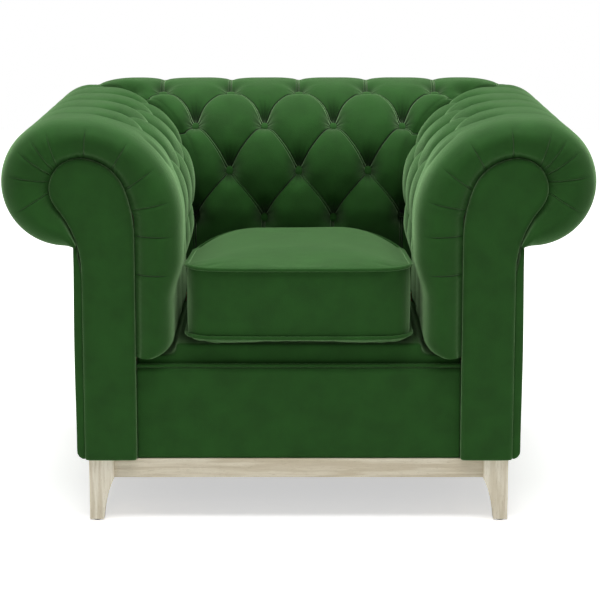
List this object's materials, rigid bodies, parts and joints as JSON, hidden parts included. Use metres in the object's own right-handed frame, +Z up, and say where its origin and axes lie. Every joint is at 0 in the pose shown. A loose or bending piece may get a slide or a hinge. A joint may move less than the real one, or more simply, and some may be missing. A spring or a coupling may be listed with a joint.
{
  "type": "chesterfield armchair",
  "caption": "Low club armchair with rolled, deep-buttoned arms and back, loose piped seat cushion and a pale wooden plinth base.",
  "frame": {"origin": "on the floor, under the middle of the chair's outer box", "axes": "+X to the sitter's left, along the chair's width; +Y to the back; +Z up"},
  "size_m": [1.0606, 0.8649, 0.741],
  "materials": {
    "pale_wood": "pale washed hardwood, matt",
    "frame_wood": "plain sawn softwood and ply",
    "lining_board": "bent lining board",
    "velvet": "short-pile velvet",
    "padded_velvet": "short-pile velvet over foam and fibre",
    "cushion_foam": "upholstery foam",
    "webbing": "elastic webbing",
    "dust_cloth": "black non-woven cloth",
    "zip_tape": "woven zip tape with coil teeth",
    "bolt_steel": "zinc plated",
    "glide_plastic": "nylon"
  },
  "bodies": {
    "chair": {"arm_base_rail_left": "frame_wood", "arm_base_rail_right": "frame_wood", "arm_buttons_left": "velvet", "arm_buttons_right": "velvet", "arm_facing_left": "velvet", "arm_facing_right": "velvet", "arm_front_board_left": "frame_wood", "arm_front_board_right": "frame_wood", "arm_lining_left": "lining_board", "arm_lining_right": "lining_board", "arm_outside_left": "velvet", "arm_outside_right": "velvet", "arm_pad_left": "padded_velvet", "arm_pad_right": "padded_velvet", "arm_tack_rail_left": "frame_wood", "arm_tack_rail_right": "frame_wood", "arm_top_rail_left": "frame_wood", "arm_top_rail_right": "frame_wood", "arm_tuck_rail_left": "frame_wood", "arm_tuck_rail_right": "frame_wood", "back_base_rail": "frame_wood", "back_buttons": "velvet", "back_lining": "lining_board", "back_outside": "velvet", "back_pad": "padded_velvet", "back_post_centre": "frame_wood", "back_post_left": "frame_wood", "back_post_right": "frame_wood", "back_tack_rail": "frame_wood", "back_top_rail": "frame_wood", "back_tuck_rail": "frame_wood", "corner_post_left": "frame_wood", "corner_post_right": "frame_wood", "dust_cover": "dust_cloth", "foot_glides": "glide_plastic", "front_border": "velvet", "front_border_welt": "velvet", "leg_back_left": "pale_wood", "leg_back_right": "pale_wood", "leg_front_left": "pale_wood", "leg_front_right": "pale_wood", "plinth_blocks": "frame_wood", "plinth_bolts": "bolt_steel", "plinth_rail_back": "pale_wood", "plinth_rail_front": "pale_wood", "plinth_rail_left": "pale_wood", "plinth_rail_right": "pale_wood", "seat_corner_blocks": "frame_wood", "seat_deck": "padded_velvet", "seat_rail_back": "frame_wood", "seat_rail_front": "frame_wood", "seat_rail_left": "frame_wood", "seat_rail_right": "frame_wood", "seat_webbing_cross": "webbing", "seat_webbing_long": "webbing"},
    "cushion": {"seat_cushion_cover": "velvet", "seat_cushion_core": "cushion_foam", "cushion_piping_bottom": "velvet", "cushion_piping_top": "velvet", "cushion_zip": "zip_tape"}
  },
  "joints": [
    {"name": "cushion_lift", "type": "slide", "parent": "chair", "child": "cushion", "axis": [0, 0, 1], "range_m": [0, 0.45]}
  ]
}
